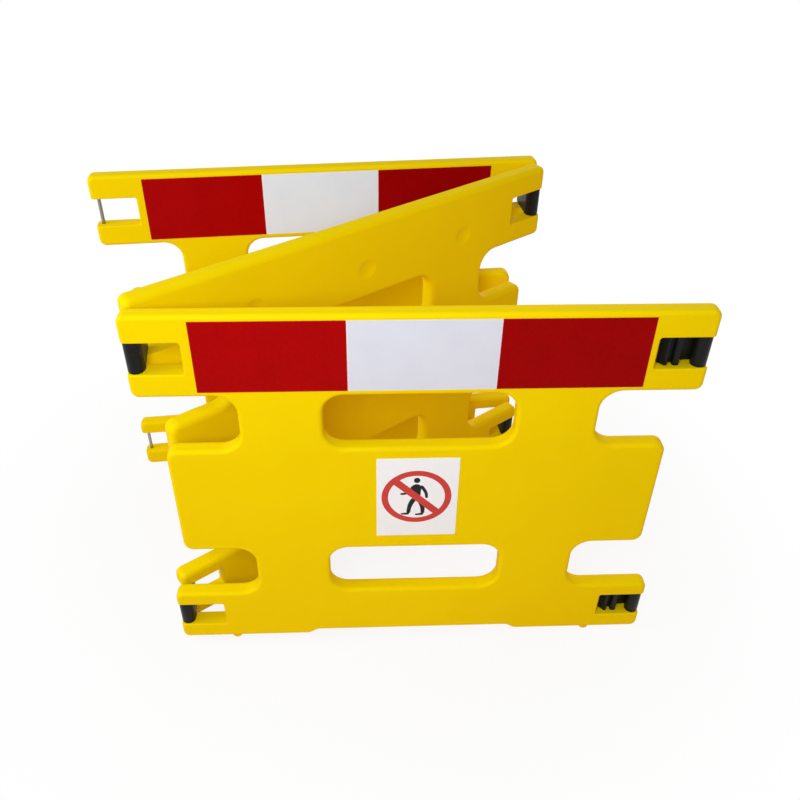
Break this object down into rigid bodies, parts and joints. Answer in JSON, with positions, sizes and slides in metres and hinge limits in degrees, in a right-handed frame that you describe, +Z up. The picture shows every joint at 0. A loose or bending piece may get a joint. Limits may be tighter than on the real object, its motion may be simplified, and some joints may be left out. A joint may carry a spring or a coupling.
{
  "type": "folding barrier",
  "caption": "Folding barrier of hollow moulded panels with slots and end notches, red and white reflective films, and clip-on links turning on steel pins, to fence off a work area.",
  "frame": {"origin": "centre of the bounding box in plan, at the ground under the feet", "axes": "+X along the front panel to its right, +Y back from the front panel towards the rear panel, +Z up"},
  "size_m": [1.1924, 0.7113, 0.831],
  "materials": {
    "yellow_plastic": "satin",
    "black_plastic": "satin",
    "steel": "satin",
    "red_film": "gloss",
    "white_film": "gloss",
    "sign_white": "satin"
  },
  "bodies": {
    "front": {"front_centre_white_film": "white_film", "front_left_lower_pin": "steel", "front_left_red_film": "red_film", "front_left_upper_pin": "steel", "front_panel": "yellow_plastic", "front_right_lower_pin": "steel", "front_right_red_film": "red_film", "front_right_upper_pin": "steel", "sign_plate": "sign_white"},
    "front_links": {"front_upper_link": "black_plastic", "front_lower_link": "black_plastic"},
    "middle": {"middle_centre_white_film": "white_film", "middle_left_lower_pin": "steel", "middle_left_red_film": "red_film", "middle_left_upper_pin": "steel", "middle_panel": "yellow_plastic", "middle_right_lower_pin": "steel", "middle_right_red_film": "red_film", "middle_right_upper_pin": "steel"},
    "back_links": {"back_upper_link": "black_plastic", "back_lower_link": "black_plastic"},
    "rear": {"rear_centre_white_film": "white_film", "rear_left_lower_pin": "steel", "rear_left_red_film": "red_film", "rear_left_upper_pin": "steel", "rear_panel": "yellow_plastic", "rear_right_lower_pin": "steel", "rear_right_red_film": "red_film", "rear_right_upper_pin": "steel"},
    "free_upper": {"free_upper_link": "black_plastic"},
    "free_lower": {"free_lower_link": "black_plastic"}
  },
  "joints": [
    {"name": "front_link_swing", "type": "hinge", "parent": "front", "child": "front_links", "pos_m": [-0.39027, -0.33665, 0.423], "axis": [0, 0, 1], "range_deg": [-8, 82]},
    {"name": "middle_panel_swing", "type": "hinge", "parent": "front_links", "child": "middle", "pos_m": [-0.39751, -0.28516, 0.423], "axis": [0, 0, 1], "range_deg": [-27.8, 62.2]},
    {"name": "back_link_swing", "type": "hinge", "parent": "middle", "child": "back_links", "pos_m": [0.39085, 0.28342, 0.423], "axis": [0, 0, -1], "range_deg": [-30.3, 59.7]},
    {"name": "rear_panel_swing", "type": "hinge", "parent": "back_links", "child": "rear", "pos_m": [0.38586, 0.33518, 0.423], "axis": [0, 0, -1], "range_deg": [0, 90]},
    {"name": "free_upper_link_swing", "type": "hinge", "parent": "front", "child": "free_upper", "pos_m": [0.58173, -0.33665, 0.74655], "axis": [0, 0, 1], "range_deg": [0, 180]},
    {"name": "free_lower_link_swing", "type": "hinge", "parent": "front", "child": "free_lower", "pos_m": [0.58173, -0.33665, 0.08755], "axis": [0, 0, 1], "range_deg": [0, 180]}
  ]
}
